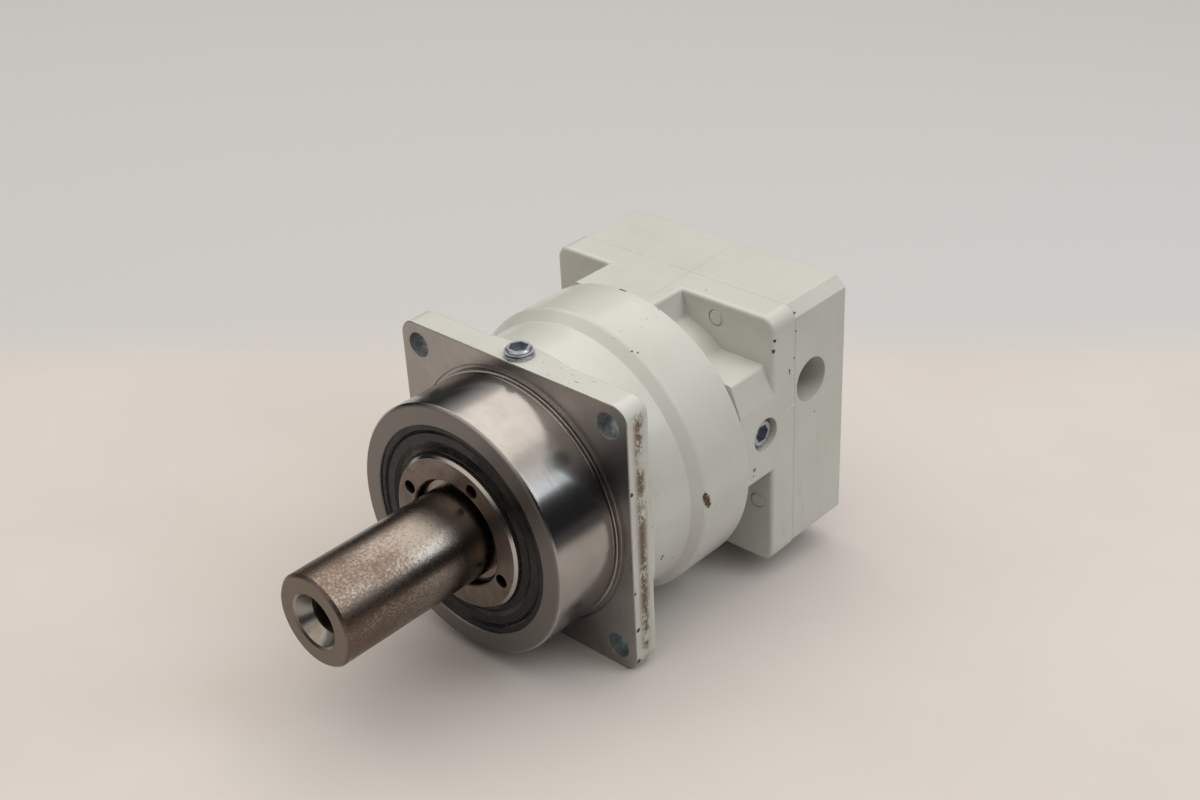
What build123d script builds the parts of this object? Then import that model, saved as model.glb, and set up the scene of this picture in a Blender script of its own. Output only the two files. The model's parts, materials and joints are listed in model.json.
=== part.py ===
from build123d import *
import math
import os

# Planetary gearbox with a square flange, millimetres, +Z up.
# The shaft axis is the Y axis. The output shaft points along -Y.
# The origin is the centre of the flange's front face, on the shaft axis.

# ---- driving dimensions -------------------------------------------------
# output side
FLANGE = 101.0
FLANGE_THICK = 10.0
FLANGE_CORNER_R = 6.0
FLANGE_BOLT_CIRCLE_R = 60.0
FLANGE_HOLE_R = 4.5
FLANGE_FRONT_EDGE = 0.3
FLANGE_REAR_EDGE_R = 1.0
PILOT_R = 45.0
PILOT_EDGE = 1.0
PILOT_GROOVE_Y = -2.8
NOSE_FRONT = -27.5
SHAFT_R = 16.0
SHAFT_END = -88.0
CENTRE_HOLE_RADII = (9.9, 6.5, 5.1)
THREAD_START = -26.0
THREAD_R = 18.0
NUT_R = 27.5
NUT_FRONT = -29.0
NUT_BORE_R = 19.0
NUT_HOLE_R = 2.4
NUT_HOLE_DEPTH = 6.0
NUT_HOLE_CIRCLE_R = 22.3
NUT_HOLE_ANGLE = 64
# round body
BODY_R_FRONT = 49.2
BODY_R_MID = 50.0
BODY_R = 53.2
CONE_START = 29.5
CONE_END = 33.5
JOINT_Y = 57.0
# square rear end
BLOCK = 98.0
BLOCK_CORNER_R = 5.0
POCKET_FLOOR = 75.0
SEAM_Y = 87.0
REAR_Y = 116.5
PLATE_CHAMFER = 4.0
CORE_R = 41.0
# sides of the top bridge along X and of the right bridge along Z, at the block's outline
TOP_BRIDGE = (-24.0, 9.0)
RIGHT_BRIDGE = (-9.0, 31.0)
ADAPTER_BORE_R = 32.0
SPIGOT_INNER_R = 37.5
CAVITY_END = 59.5
# gear set
MODULE = 1.125
SUN_TEETH = 18
PLANET_TEETH = 27
RING_TEETH = 72
PRESSURE_ANGLE = math.radians(20)
BACKLASH = 0.12
CENTRE_DISTANCE = MODULE * (SUN_TEETH + PLANET_TEETH) / 2
PLANET_ANGLES = (90, 210, 330)
CHEEK_FRONT = 23.0
CHEEK_INNER = 31.0
CHEEK_REAR = 52.0
CARRIER_END = 58.5
CARRIER_R = 37.5
CARRIER_REAR_R = 36.5
RING_FRONT = 30.0
RING_OUTER_R = 46.0
PLANET_WINDOW_R = 17.2
PLANET_Y0 = CHEEK_INNER + 1.0
PLANET_Y1 = CHEEK_REAR - 1.0
PIN_R = 6.0
PIN_START = 26.0
PIN_EDGE = 0.6
NEEDLE_R = 1.25
NEEDLE_COUNT = 12
NEEDLE_LENGTH = 15.0
WASHER_R = 12.5
WASHER_THICK = 0.9
# output bearings: bore radius, outer radius, first face, last face
FRONT_BEARING = (20.0, 34.0, -16.0, 3.0)
REAR_BEARING = (25.0, 36.0, 8.0, 23.0)
TAPER_ANGLE = math.radians(13)
# input side
INPUT_BEARING = (17.5, 31.0, 63.0, 77.0)
BALL_R = 3.97
BALL_COUNT = 10
STEM_R = 6.0
STEM_END = 70.0
HUB_FRONT = 61.0
HUB_BORE_R = 9.5
HUB_SLEEVE_R = 13.0
HUB_END = 111.0
COLLAR_R = 26.0
CLAMP_Y = 96.6
CLAMP_Z = 17.2
COLLAR_WIDTH = 13.0
MOTOR_PILOT_R = 40.0
MOTOR_PILOT_DEPTH = 5.0
MOTOR_BOLT_CIRCLE_R = 50.0
MOTOR_BOLT_R = 3.0
ACCESS_R = 8.25
# seals
OUTPUT_SEAL = (27.5, 37.5, -27.0, -19.0)
INPUT_SEAL = (17.5, 31.0, 79.5, 86.5)
# fasteners
HOUSING_SCREW_CIRCLE_R = 48.3
HOUSING_SCREW_ANGLE = 113.0
HOUSING_SCREW_R = 2.0
PLATE_SCREW_CIRCLE_R = 48.9
PLATE_SCREW_ANGLE = 60
HOUSING_SCREW_TIP = JOINT_Y - 11.0
HOUSING_SCREW_SEAT = 80.0
PLATE_HEAD_DEPTH = 7.0
# oil plugs
FILLER_Y = 5.5
SIDE_PLUG_Y = 71.0
SIDE_PLUG_Z = 7.0
SIDE_PLUG_RECESS = 4.5
SIDE_PLUG_RECESS_R = 6.2
PLUG_KEY = 2.9
PLUG_THREAD_R = 4.0
PLUG_DEPTH = 7.5
# O-ring in the input housing's spigot
O_RING_R = 45.1
O_RING_Y = 54.5
O_RING_WIRE_R = 0.88
# running gap between curved faces that would touch
GAP = 0.05
NEEDLE_TRACK_R = PIN_R + NEEDLE_R + GAP / 2
PLANET_BORE_R = PIN_R + 2 * NEEDLE_R + GAP


# ---- helpers ------------------------------------------------------------
def turned(*points):
    """A solid of revolution about the shaft axis from (radius, y) points."""
    return revolve(make_face(Polyline(*points, close=True)), Axis.Y)


def tube(inner_r, outer_r, y0, y1):
    return turned((inner_r, y0), (outer_r, y0), (outer_r, y1), (inner_r, y1))


def disc(r, y0, y1, x=0.0, z=0.0):
    """A cylinder along Y, centred on (x, z)."""
    return prism(Pos(x, z) * Circle(r), y0, y1)


def prism(sketch, y0, y1):
    """Sketch x is X and sketch y is Z; the solid fills y0 to y1."""
    plane = Plane((0, y1, 0), x_dir=(1, 0, 0), z_dir=(0, -1, 0))
    return extrude(plane * sketch, amount=y1 - y0)


def rod_x(r, x0, x1, y, z):
    """A cylinder along X."""
    plane = Plane((x0, y, z), x_dir=(0, 1, 0), z_dir=(1, 0, 0))
    return extrude(plane * Circle(r), amount=x1 - x0)


def polar(r, degrees):
    """X and Z of a point on a circle about the shaft axis."""
    angle = math.radians(degrees)
    return r * math.cos(angle), r * math.sin(angle)


def around(start, count=4):
    return [start + 360 * k / count for k in range(count)]


def turn(shape, degrees):
    """Turn a shape about the shaft axis, from +X towards +Z."""
    return shape.rotate(Axis.Y, -degrees)


def save(name, *solids):
    shape = solids[0] if len(solids) == 1 else Compound(children=list(solids))
    shape.label = name
    export_step(shape, "parts/" + name + ".step")


# ---- involute teeth -----------------------------------------------------
def involute(angle):
    return math.tan(angle) - angle


def gear_outline(teeth, tip_r, root_r, phase, side_gap):
    """Closed outline of an external gear; phase is a tooth centre in degrees.

    A positive side_gap thins each tooth, and a negative one thickens it, so the
    same outline cuts the spaces of an internal gear.
    """
    pitch_r = MODULE * teeth / 2
    base_r = pitch_r * math.cos(PRESSURE_ANGLE)
    steps = 4
    radii = [max(root_r, base_r) + (tip_r - max(root_r, base_r)) * k / steps for k in range(steps + 1)]

    def half_angle(r):
        spread = involute(PRESSURE_ANGLE) - involute(math.acos(min(1.0, base_r / r)))
        return math.pi / (2 * teeth) - side_gap / (2 * pitch_r) + spread

    flank = [(r, half_angle(r)) for r in radii]
    if root_r < base_r:
        flank.insert(0, (root_r, half_angle(base_r)))
    points = []
    for k in range(teeth):
        centre = math.radians(phase) + 2 * math.pi * k / teeth
        rising = [(r, centre - a) for r, a in flank]
        falling = [(r, centre + a) for r, a in reversed(flank)]
        points += [(r * math.cos(a), r * math.sin(a)) for r, a in rising + falling]
    return make_face(Polyline(*points, close=True))


def external_gear(teeth, y0, y1, phase):
    pitch_r = MODULE * teeth / 2
    outline = gear_outline(teeth, pitch_r + MODULE, pitch_r - 1.25 * MODULE, phase, BACKLASH)
    return prism(outline, y0, y1)


# ---- castings and plates --------------------------------------------------
def output_housing():
    flange = prism(RectangleRounded(FLANGE, FLANGE, FLANGE_CORNER_R), 0, FLANGE_THICK)
    flange = fillet(flange.faces().sort_by(Axis.Y)[-1].edges(), FLANGE_REAR_EDGE_R)
    flange = chamfer(flange.faces().sort_by(Axis.Y)[0].edges(), FLANGE_FRONT_EDGE)
    shoulder_r = 30.0
    root_r = 53.0
    root_end = 13.5
    root_start = FLANGE_THICK / 2
    body_root = turned((shoulder_r, root_start), (root_r, root_start), (root_r, FLANGE_THICK),
                       (BODY_R_FRONT + 0.8, FLANGE_THICK + 1.2), (BODY_R_FRONT, root_end),
                       (shoulder_r, root_end))
    body_root &= prism(Rectangle(FLANGE, FLANGE), 0, JOINT_Y)
    groove_r = PILOT_R - 0.8
    ledge_r = PILOT_R + 0.5
    rim = 0.8
    core_r = 10.0
    body = turned(
        (PILOT_R - PILOT_EDGE, NOSE_FRONT), (PILOT_R, NOSE_FRONT + PILOT_EDGE), (PILOT_R, PILOT_GROOVE_Y),
        (groove_r, PILOT_GROOVE_Y + 0.3), (groove_r, PILOT_GROOVE_Y + 1.0), (ledge_r, PILOT_GROOVE_Y + 1.4),
        (ledge_r, 2.0), (BODY_R_FRONT, 8.0), (BODY_R_FRONT, root_end), (BODY_R_MID, CONE_START),
        (BODY_R - 0.4, CONE_END - 0.5), (BODY_R, CONE_END + 0.5), (BODY_R, JOINT_Y - rim),
        (BODY_R - rim, JOINT_Y), (core_r, JOINT_Y), (core_r, NOSE_FRONT))
    shape = flange + body_root + body
    # relief ring in the flange face round the pilot
    shape -= tube(ledge_r, PILOT_R + 1.8, -0.5, 0.4)
    # bores: seal, front bearing, shoulder, rear bearing, carrier space, ring gear
    seal_r = OUTPUT_SEAL[1]
    front_r, front_y0, front_y1 = FRONT_BEARING[1:]
    rear_r, rear_y0, rear_y1 = REAR_BEARING[1:]
    rear_stop = rear_y1 - 2.0
    carrier_space_r = 39.5
    shape -= turned(
        (0, NOSE_FRONT), (seal_r + 0.3, NOSE_FRONT), (seal_r, NOSE_FRONT + 0.3), (seal_r, OUTPUT_SEAL[3]),
        (front_r, OUTPUT_SEAL[3]), (front_r, front_y1), (shoulder_r, front_y1), (shoulder_r, rear_y0),
        (rear_r, rear_y0), (rear_r, rear_stop), (carrier_space_r, rear_stop), (carrier_space_r, RING_FRONT),
        (RING_OUTER_R, RING_FRONT), (RING_OUTER_R, JOINT_Y), (0, JOINT_Y))
    for angle in around(45):
        x, z = polar(FLANGE_BOLT_CIRCLE_R, angle)
        shape -= disc(FLANGE_HOLE_R, 0, FLANGE_THICK, x, z)
    for angle in around(HOUSING_SCREW_ANGLE):
        x, z = polar(HOUSING_SCREW_CIRCLE_R, angle)
        shape -= disc(HOUSING_SCREW_R, HOUSING_SCREW_TIP - 2, JOINT_Y, x, z)
    # filler hole from the flange's top edge into the space between the bearings
    thread_end = FLANGE / 2 - PLUG_DEPTH - 1.5
    shape -= hole_z(PLUG_THREAD_R, thread_end, FLANGE / 2)
    shape -= hole_z(PLUG_THREAD_R / 2, shoulder_r - 2, thread_end + 1)
    return shape


def hole_z(r, z0, z1):
    """A cylinder along Z on the filler plug's line."""
    return extrude(Plane((0, FILLER_Y, z0)) * Circle(r), amount=z1 - z0)


def ring_gear():
    pitch_r = MODULE * RING_TEETH / 2
    spaces = gear_outline(RING_TEETH, pitch_r + 1.25 * MODULE, pitch_r - MODULE,
                          PLANET_ANGLES[0] + 180 / RING_TEETH, -BACKLASH)
    return disc(RING_OUTER_R, RING_FRONT, CHEEK_REAR) - prism(spaces, RING_FRONT, CHEEK_REAR)


def bridge_outline():
    """Four bridges between the round body and the square block, with a pocket beside each.

    The top and right bridges differ. The bottom and left ones are the same two, turned
    half round.
    """
    out = BLOCK / 2 + 2
    right_pocket = Polyline((TOP_BRIDGE[1], out), (14.0, RIGHT_BRIDGE[1]), (45.0, RIGHT_BRIDGE[1]),
                            (out, 14.5), (out, out), close=True)
    left_pocket = Polyline((-out, -RIGHT_BRIDGE[0]), (-34.0, 14.0), (TOP_BRIDGE[0], 32.0),
                           (TOP_BRIDGE[0], out), (-out, out), close=True)
    outline = RectangleRounded(BLOCK, BLOCK, BLOCK_CORNER_R)
    for angle in around(0, 2):
        for pocket in (right_pocket, left_pocket):
            outline -= Rot(0, 0, angle) * make_face(pocket)
    outline += Circle(CORE_R)
    return fillet(outline.vertices(), 1.5)


def input_housing():
    block = prism(RectangleRounded(BLOCK, BLOCK, BLOCK_CORNER_R), POCKET_FLOOR, SEAM_Y)
    front_face = block.faces().sort_by(Axis.Y)[0]
    block = fillet(front_face.edges(), 1.5)
    # the bridges stand a hair inside the block's sides, so that the rounded edge ends cleanly
    step = 0.02
    bridges = prism(bridge_outline(), JOINT_Y, SEAM_Y - 6)
    bridges &= prism(Rectangle(BLOCK - 2 * step, BLOCK - 2 * step), JOINT_Y, SEAM_Y)
    shape = block + bridges
    # spigot that centres on the ring gear's bore, with the groove of its O-ring
    shape += tube(SPIGOT_INNER_R, RING_OUTER_R, CHEEK_REAR, JOINT_Y)
    groove_half = 1.3
    shape -= tube(O_RING_R - 0.9, RING_OUTER_R + 1, O_RING_Y - groove_half, O_RING_Y + groove_half)
    # carrier space, shaft hole and the bore for bearing, circlip and seal
    outer_r, bearing_y0, bearing_y1 = INPUT_BEARING[1:]
    neck_r = 21.5
    shape -= turned((0, CHEEK_REAR), (SPIGOT_INNER_R, CHEEK_REAR), (SPIGOT_INNER_R, CAVITY_END),
                    (neck_r, CAVITY_END), (neck_r, bearing_y0), (outer_r, bearing_y0), (outer_r, SEAM_Y),
                    (0, SEAM_Y))
    shape -= tube(outer_r - 1, outer_r + 1.6, bearing_y1, bearing_y1 + 2.1)
    for angle in around(HOUSING_SCREW_ANGLE):
        x, z = polar(HOUSING_SCREW_CIRCLE_R, angle)
        shape -= disc(HOUSING_SCREW_R + 0.25, JOINT_Y, SEAM_Y, x, z)
        shape -= disc(2 * HOUSING_SCREW_R - 0.2, HOUSING_SCREW_SEAT, SEAM_Y, x, z)
    for angle in around(PLATE_SCREW_ANGLE):
        x, z = polar(PLATE_SCREW_CIRCLE_R, angle)
        shape -= disc(3.0, POCKET_FLOOR, SEAM_Y, x, z)
    # side oil plug: counterbore, thread, and a drilling forward to the carrier space
    half = BLOCK / 2
    gallery_x = 35.5
    shape -= rod_x(SIDE_PLUG_RECESS_R, half - SIDE_PLUG_RECESS, half + 5, SIDE_PLUG_Y, SIDE_PLUG_Z)
    shape -= rod_x(PLUG_THREAD_R, gallery_x - 1.5, half, SIDE_PLUG_Y, SIDE_PLUG_Z)
    shape -= disc(1.75, CAVITY_END - 1, SIDE_PLUG_Y, gallery_x, SIDE_PLUG_Z)
    return shape


def adapter_plate():
    square = chamfer(Rectangle(BLOCK, BLOCK).vertices(), PLATE_CHAMFER)
    shape = prism(square, SEAM_Y, REAR_Y)
    shape = chamfer(shape.faces().sort_by(Axis.Y)[-1].edges(), 0.8)
    shape = chamfer(shape.faces().sort_by(Axis.Y)[0].edges(), 0.4)
    shape -= disc(ADAPTER_BORE_R, SEAM_Y, REAR_Y)
    shape -= disc(MOTOR_PILOT_R, REAR_Y - MOTOR_PILOT_DEPTH, REAR_Y)
    shape -= rod_x(ACCESS_R, 20, BLOCK / 2, CLAMP_Y, CLAMP_Z)
    for angle in around(45):
        x, z = polar(MOTOR_BOLT_CIRCLE_R, angle)
        shape -= disc(MOTOR_BOLT_R, REAR_Y - 15, REAR_Y, x, z)
    for angle in around(PLATE_SCREW_ANGLE):
        x, z = polar(PLATE_SCREW_CIRCLE_R, angle)
        shape -= disc(3.3, SEAM_Y, REAR_Y, x, z) + disc(5.5, REAR_Y - PLATE_HEAD_DEPTH, REAR_Y, x, z)
    return shape


# ---- fasteners and plugs --------------------------------------------------
def cap_screw(shank_r, tip_y, seat_y, head_r, head_height, key_width):
    """A socket cap screw on the shaft axis, its head towards +Y."""
    screw = turned((0, tip_y), (shank_r - 0.6, tip_y), (shank_r, tip_y + 0.6), (shank_r, seat_y),
                   (head_r, seat_y), (head_r, seat_y + head_height - 0.5),
                   (head_r - 0.5, seat_y + head_height), (0, seat_y + head_height))
    socket = RegularPolygon(key_width / 2, 6, major_radius=False)
    return screw - prism(socket, seat_y + head_height * 0.45, seat_y + head_height)


def screw_ring(screw, circle_r, first_angle):
    solids = []
    for angle in around(first_angle):
        x, z = polar(circle_r, angle)
        solids.append(Pos(x, 0, z) * screw)
    return solids


def clamp_screw():
    """Screw across the clamp collar, its head towards +X."""
    seat_x = 10.0
    tip_x = -15.0
    head_r = 6.5
    screw = cap_screw(4.0, tip_x, seat_x, head_r, 8.0, 6.0)
    return Pos(0, CLAMP_Y, CLAMP_Z) * screw.rotate(Axis.Z, -90)


def filler_plug():
    """Socket head plug that stands in the flange's top edge, with two thin collars."""
    top = FLANGE / 2
    stem_r = PLUG_THREAD_R - 0.1
    head_r = 4.3
    head_end = top + 3.1
    points = [(0, top - PLUG_DEPTH), (stem_r, top - PLUG_DEPTH), (stem_r, top + 0.8)]
    for collar in (top + 0.8, top + 1.6):
        points += [(head_r + 0.5, collar), (head_r + 0.5, collar + 0.4), (head_r - 0.1, collar + 0.5),
                   (head_r - 0.1, collar + 0.8)]
    points += [(head_r, head_end - 0.5), (head_r - 0.4, head_end), (0, head_end)]
    profile = make_face(Polyline(*points, close=True))
    plug = revolve(Plane.XZ * profile, Axis.Z)
    socket = extrude(Plane((0, 0, top - 0.4)) * RegularPolygon(PLUG_KEY, 6, major_radius=False), amount=4)
    return Pos(0, FILLER_Y, 0) * (plug - socket)


def filler_washer():
    top = FLANGE / 2
    return extrude(Plane((0, FILLER_Y, top)) * (Circle(5.2) - Circle(PLUG_THREAD_R)), amount=0.8)


def side_plug():
    """Socket head plug at the bottom of the recess in the right bridge."""
    seat = BLOCK / 2 - SIDE_PLUG_RECESS
    stem_r = PLUG_THREAD_R - 0.1
    head_r = 4.9
    profile = ((0, seat - PLUG_DEPTH), (stem_r, seat - PLUG_DEPTH), (stem_r, seat + 0.8),
               (head_r, seat + 0.8), (head_r, seat + 2.4), (head_r - 0.5, seat + 2.9), (0, seat + 2.9))
    plug = turned(*profile).rotate(Axis.Z, -90)
    socket_plane = Plane((seat - 0.6, 0, 0), x_dir=(0, 1, 0), z_dir=(1, 0, 0))
    plug -= extrude(socket_plane * RegularPolygon(PLUG_KEY, 6, major_radius=False), amount=6)
    return Pos(0, SIDE_PLUG_Y, SIDE_PLUG_Z) * plug


def side_washer():
    seat = BLOCK / 2 - SIDE_PLUG_RECESS
    ring = rod_x(5.6, seat, seat + 0.8, SIDE_PLUG_Y, SIDE_PLUG_Z)
    return ring - rod_x(PLUG_THREAD_R, seat, seat + 0.8, SIDE_PLUG_Y, SIDE_PLUG_Z)


# ---- seals and rings ------------------------------------------------------
def lip_seal(lip_r, outer_r, front, back, outward):
    """Radial shaft seal; outward is -1 when its dust side faces -Y, else 1."""
    width = back - front
    mid = (front + back) / 2

    def at(fraction):
        return mid + outward * width * fraction

    rim = outer_r - 2.2
    waist = lip_r + 2.6
    return turned((outer_r, at(0.48)), (outer_r, at(-0.5)), (rim, at(-0.5)), (rim, at(0.28)),
                  (waist + 0.9, at(0.28)), (waist + 0.2, at(-0.38)), (lip_r + 0.9, at(-0.38)),
                  (lip_r + GAP, at(-0.14)), (lip_r + 1.1, at(0.16)), (lip_r + GAP, at(0.46)),
                  (lip_r + 0.9, at(0.5)), (waist, at(0.37)), (waist + 1.4, at(0.45)),
                  (rim - 1.0, at(0.45)), (rim - 0.4, at(0.38)), (rim + 0.4, at(0.48)))


def torus_ring(major_r, minor_r, y):
    return revolve(Pos(major_r, y) * Circle(minor_r), Axis.Y)


def seal_spring(lip_r, front, back, outward):
    """Garter spring that lies round the lip, on the oil side of the seal."""
    wire_r = 0.8
    y = (front + back) / 2 - outward * (back - front) * 0.22
    return torus_ring(lip_r + 3.1 + wire_r, wire_r, y)


def circlip(inner_r, outer_r, y0, y1, lugs_inside, gap_angle):
    """Spring ring with a gap and two lug holes."""
    thick = y1 - y0
    lug_r = inner_r + 1.2 if lugs_inside else outer_r - 1.2
    ring = tube(inner_r, outer_r, y0, y1)
    for side in (-1, 1):
        x, z = polar(lug_r, 9 * side)
        ring += disc(2.2, y0, y1, x, z)
    for side in (-1, 1):
        x, z = polar(lug_r, 9 * side)
        ring -= disc(0.9, y0, y1, x, z)
    ring -= Pos(outer_r, y0 + thick / 2, 0) * Box(outer_r, thick, 3.0)
    return turn(ring, gap_angle)


# ---- tapered roller bearings ----------------------------------------------
def taper_bearing(name, bearing, roller_r, roller_length, count, large_end):
    """Inner ring, outer ring, rollers and cage; large_end is -1 or 1 along Y."""
    bore_r, outer_r, y0, y1 = bearing
    width = y1 - y0
    small_face = y1 if large_end < 0 else y0
    mid_u = width * 0.45
    mid_r = (bore_r + outer_r) / 2 + 0.2
    apex = mid_r / math.sin(TAPER_ANGLE)
    half_cone = math.atan(roller_r / apex)
    apex_u = mid_u - apex * math.cos(TAPER_ANGLE)
    half_u = roller_length / 2 * math.cos(TAPER_ANGLE)
    lean = roller_r * math.sin(TAPER_ANGLE)

    def inner_race(u):
        return (u - apex_u) * math.tan(TAPER_ANGLE - half_cone) - GAP

    def outer_race(u):
        return (u - apex_u) * math.tan(TAPER_ANGLE + half_cone) + GAP

    def place(points):
        return turned(*[(r, small_face + large_end * u) for r, u in points])

    small_rib = mid_u - half_u + lean - 0.6
    large_rib = mid_u + half_u + lean + 0.2
    inner = place([(bore_r, 0), (inner_race(small_rib) + 0.5, 0), (inner_race(small_rib) + 0.5, small_rib),
                   (inner_race(small_rib), small_rib), (inner_race(large_rib), large_rib),
                   (inner_race(large_rib) + 1.1, large_rib), (inner_race(large_rib) + 1.1, width),
                   (bore_r, width)])
    cup_width = width * 0.77
    outer = place([(outer_r, 0), (outer_race(0), 0), (outer_race(cup_width), cup_width),
                   (outer_r, cup_width)])

    def roller(extra):
        spread = math.tan(half_cone) * roller_length / 2
        end = roller_length / 2 + extra
        profile = Polyline((0, -end), (roller_r - spread + extra, -end), (roller_r + spread + extra, end),
                           (0, end), close=True)
        frustum = revolve(make_face(profile), Axis.Y)
        frustum = frustum.rotate(Axis.Z, -math.degrees(TAPER_ANGLE))
        frustum = Pos(mid_r, mid_u, 0) * frustum
        if large_end < 0:
            frustum = frustum.mirror(Plane.XZ)
        return Pos(0, small_face, 0) * frustum

    along = (math.sin(TAPER_ANGLE), math.cos(TAPER_ANGLE))
    reach = roller_length / 2 + 1.1
    thick = 0.45
    cage = place([(mid_r - reach * along[0] - thick, mid_u - reach * along[1]),
                  (mid_r - reach * along[0] + thick, mid_u - reach * along[1]),
                  (mid_r + reach * along[0] + thick, mid_u + reach * along[1]),
                  (mid_r + reach * along[0] - thick, mid_u + reach * along[1])])
    cage = cage - [turn(roller(0.12), angle) for angle in around(0, count)]
    save(name + "_inner_ring", inner)
    save(name + "_outer_ring", outer)
    save(name + "_rollers", *[turn(roller(0.0), angle) for angle in around(0, count)])
    save(name + "_cage", cage)
    mean_inner = mid_r - roller_r * math.cos(TAPER_ANGLE)
    print(name, "cage ratio", round(mean_inner / (2 * mid_r), 4))


# ---- deep groove ball bearing ---------------------------------------------
def ball_bearing(name, bearing):
    bore_r, outer_r, y0, y1 = bearing
    mid_y = (y0 + y1) / 2
    mid_r = (bore_r + outer_r) / 2
    groove = torus_ring(mid_r, BALL_R + GAP, mid_y)
    balls = []
    pockets = []
    for angle in around(18, BALL_COUNT):
        x, z = polar(mid_r, angle)
        balls.append(Pos(x, mid_y, z) * Sphere(BALL_R))
        pockets.append(Pos(x, mid_y, z) * Sphere(BALL_R + 0.12))
    save(name + "_inner_ring", tube(bore_r, mid_r - 2.2, y0, y1) - groove)
    save(name + "_outer_ring", tube(mid_r + 2.2, outer_r, y0, y1) - groove)
    save(name + "_balls", *balls)
    save(name + "_cage", tube(mid_r - 1.1, mid_r + 1.1, mid_y - 5, mid_y + 5) - pockets)


# ---- planets --------------------------------------------------------------
def planet_gear(angle):
    x, z = polar(CENTRE_DISTANCE, angle)
    gear = external_gear(PLANET_TEETH, PLANET_Y0, PLANET_Y1, angle + 180 / PLANET_TEETH)
    gear -= disc(PLANET_BORE_R, PLANET_Y0, PLANET_Y1)
    return Pos(x, 0, z) * gear


def needle_set(angle):
    """Rollers and cage that run between a planet and its pin."""
    x, z = polar(CENTRE_DISTANCE, angle)
    middle = (PLANET_Y0 + PLANET_Y1) / 2
    y0 = middle - NEEDLE_LENGTH / 2
    y1 = middle + NEEDLE_LENGTH / 2
    spots = [polar(NEEDLE_TRACK_R, a) for a in around(angle, NEEDLE_COUNT)]
    rollers = [disc(NEEDLE_R - 0.02, y0, y1, x + dx, z + dz) for dx, dz in spots]
    pockets = [disc(NEEDLE_R + 0.08, y0 - 0.1, y1 + 0.1, dx, dz) for dx, dz in spots]
    cage = tube(PIN_R + 0.5, PLANET_BORE_R - 0.5, y0 - 1.5, y1 + 1.5) - pockets
    return rollers, Pos(x, 0, z) * cage


def planet_pin(angle):
    x, z = polar(CENTRE_DISTANCE, angle)
    pin = turned((0, PIN_START), (PIN_R - PIN_EDGE, PIN_START), (PIN_R, PIN_START + PIN_EDGE),
                 (PIN_R, CARRIER_END - PIN_EDGE), (PIN_R - PIN_EDGE, CARRIER_END), (0, CARRIER_END))
    return Pos(x, 0, z) * pin


def thrust_washers():
    washer = tube(PIN_R + 0.1, WASHER_R, CHEEK_INNER, CHEEK_INNER + WASHER_THICK)
    lift = CHEEK_REAR - CHEEK_INNER - WASHER_THICK
    solids = []
    for angle in PLANET_ANGLES:
        x, z = polar(CENTRE_DISTANCE, angle)
        solids.append(Pos(x, 0, z) * washer)
        solids.append(Pos(x, lift, z) * washer)
    return solids


# ---- output shaft and nut -------------------------------------------------
def output_shaft():
    """Output shaft in one piece with the planet carrier."""
    nut_back = FRONT_BEARING[2]
    bearing_step = 5.0
    shape = turned(
        (0, SHAFT_END), (SHAFT_R - 1.0, SHAFT_END), (SHAFT_R, SHAFT_END + 1.0), (SHAFT_R, THREAD_START),
        (THREAD_R, THREAD_START), (THREAD_R, nut_back), (FRONT_BEARING[0], nut_back),
        (FRONT_BEARING[0], bearing_step), (REAR_BEARING[0], bearing_step), (REAR_BEARING[0], CHEEK_FRONT),
        (CARRIER_R - 6, CHEEK_FRONT), (CARRIER_R, CHEEK_FRONT + 1.5), (CARRIER_R, CHEEK_INNER),
        (CARRIER_REAR_R, CHEEK_INNER), (CARRIER_REAR_R, CARRIER_END), (0, CARRIER_END))
    # centre hole: mouth, protected cone, counterbore and thread core with its drill point
    mouth_r, neck_r, core_r = CENTRE_HOLE_RADII
    shape -= turned((0, SHAFT_END), (mouth_r, SHAFT_END), (mouth_r - 0.9, SHAFT_END + 0.6),
                    (neck_r, SHAFT_END + 5.0), (neck_r, SHAFT_END + 9.5), (core_r, SHAFT_END + 10.5),
                    (core_r, SHAFT_END + 37), (0, SHAFT_END + 40))
    # space for the sun gear and windows for the planets
    sun_space_r = 13.0
    shape -= disc(sun_space_r, CHEEK_INNER - 3, CARRIER_END)
    for angle in PLANET_ANGLES:
        x, z = polar(CENTRE_DISTANCE, angle)
        shape -= disc(PLANET_WINDOW_R, CHEEK_INNER, CHEEK_REAR, x, z)
        shape -= disc(PIN_R, PIN_START, CARRIER_END, x, z)
    return shape


def shaft_nut():
    nut_back = FRONT_BEARING[2]
    recess_end = THREAD_START + 0.6
    shape = turned((THREAD_R, recess_end + 0.4), (NUT_BORE_R, recess_end), (NUT_BORE_R, NUT_FRONT + 0.4),
                   (NUT_BORE_R + 0.4, NUT_FRONT), (NUT_R - 0.9, NUT_FRONT), (NUT_R, NUT_FRONT + 0.9),
                   (NUT_R, nut_back), (THREAD_R, nut_back))
    for angle in around(NUT_HOLE_ANGLE):
        x, z = polar(NUT_HOLE_CIRCLE_R, angle)
        shape -= disc(NUT_HOLE_R, NUT_FRONT, NUT_FRONT + NUT_HOLE_DEPTH, x, z)
    return shape


# ---- input side -----------------------------------------------------------
def sun_gear():
    phase = PLANET_ANGLES[0] + 180 / SUN_TEETH
    teeth = external_gear(SUN_TEETH, CHEEK_INNER + 0.5, CHEEK_REAR + 0.5, phase)
    neck_r = 8.0
    return teeth + disc(neck_r, CHEEK_REAR + 0.5, HUB_FRONT) + disc(STEM_R, HUB_FRONT, STEM_END)


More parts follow.
